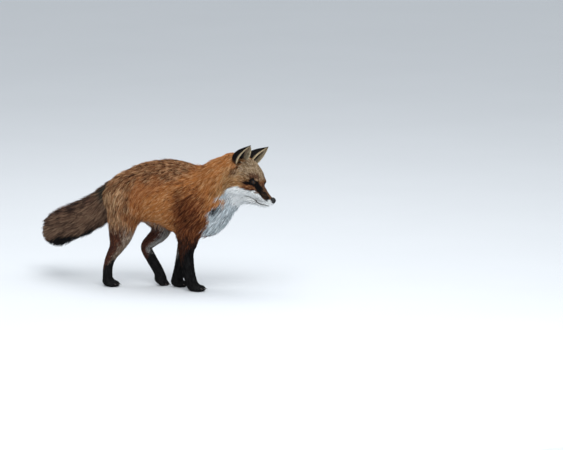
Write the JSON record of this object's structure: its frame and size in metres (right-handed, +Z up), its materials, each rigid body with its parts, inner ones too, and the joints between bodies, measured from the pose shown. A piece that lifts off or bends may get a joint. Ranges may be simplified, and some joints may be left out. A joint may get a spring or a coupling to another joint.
{
  "type": "red fox",
  "caption": "Red fox in winter coat, walking with its head turned and lowered and its tail held low, as a still life-size model.",
  "frame": {"origin": "on the floor under the middle of the fox's length and width", "axes": "+X the way the fox walks, from tail to nose; +Y the fox's left; +Z up"},
  "size_m": [0.8713, 0.286, 0.4847],
  "materials": {
    "coat_flank": "tan-orange winter fur, matte",
    "coat_neck": "rust-orange winter fur, matte",
    "coat_tail": "grizzled grey-brown winter fur, matte",
    "coat_face": "short tan-orange fur, matte",
    "coat_white": "short white fur, matte",
    "coat_ear": "short black fur, matte",
    "coat_thigh": "grizzled tan winter fur, matte",
    "coat_dark": "short black fur, matte",
    "nose": "black, slightly moist skin",
    "eye": "dark brown, wet gloss"
  },
  "bodies": {
    "root": {"trunk": "coat_flank", "neck": "coat_neck", "tail": "coat_tail", "head": "coat_face", "lower_jaw": "coat_white", "nose": "nose", "eye_left": "eye", "eye_right": "eye", "ear_left": "coat_ear", "ear_right": "coat_ear", "foreleg_upper_right": "coat_neck", "foreleg_lower_right": "coat_dark", "paw_fore_right": "coat_dark", "foreleg_upper_left": "coat_neck", "foreleg_lower_left": "coat_dark", "paw_fore_left": "coat_dark", "hindleg_upper_right": "coat_thigh", "hindleg_lower_right": "coat_dark", "paw_hind_right": "coat_dark", "hindleg_upper_left": "coat_thigh", "hindleg_lower_left": "coat_dark", "paw_hind_left": "coat_dark"}
  },
  "joints": []
}
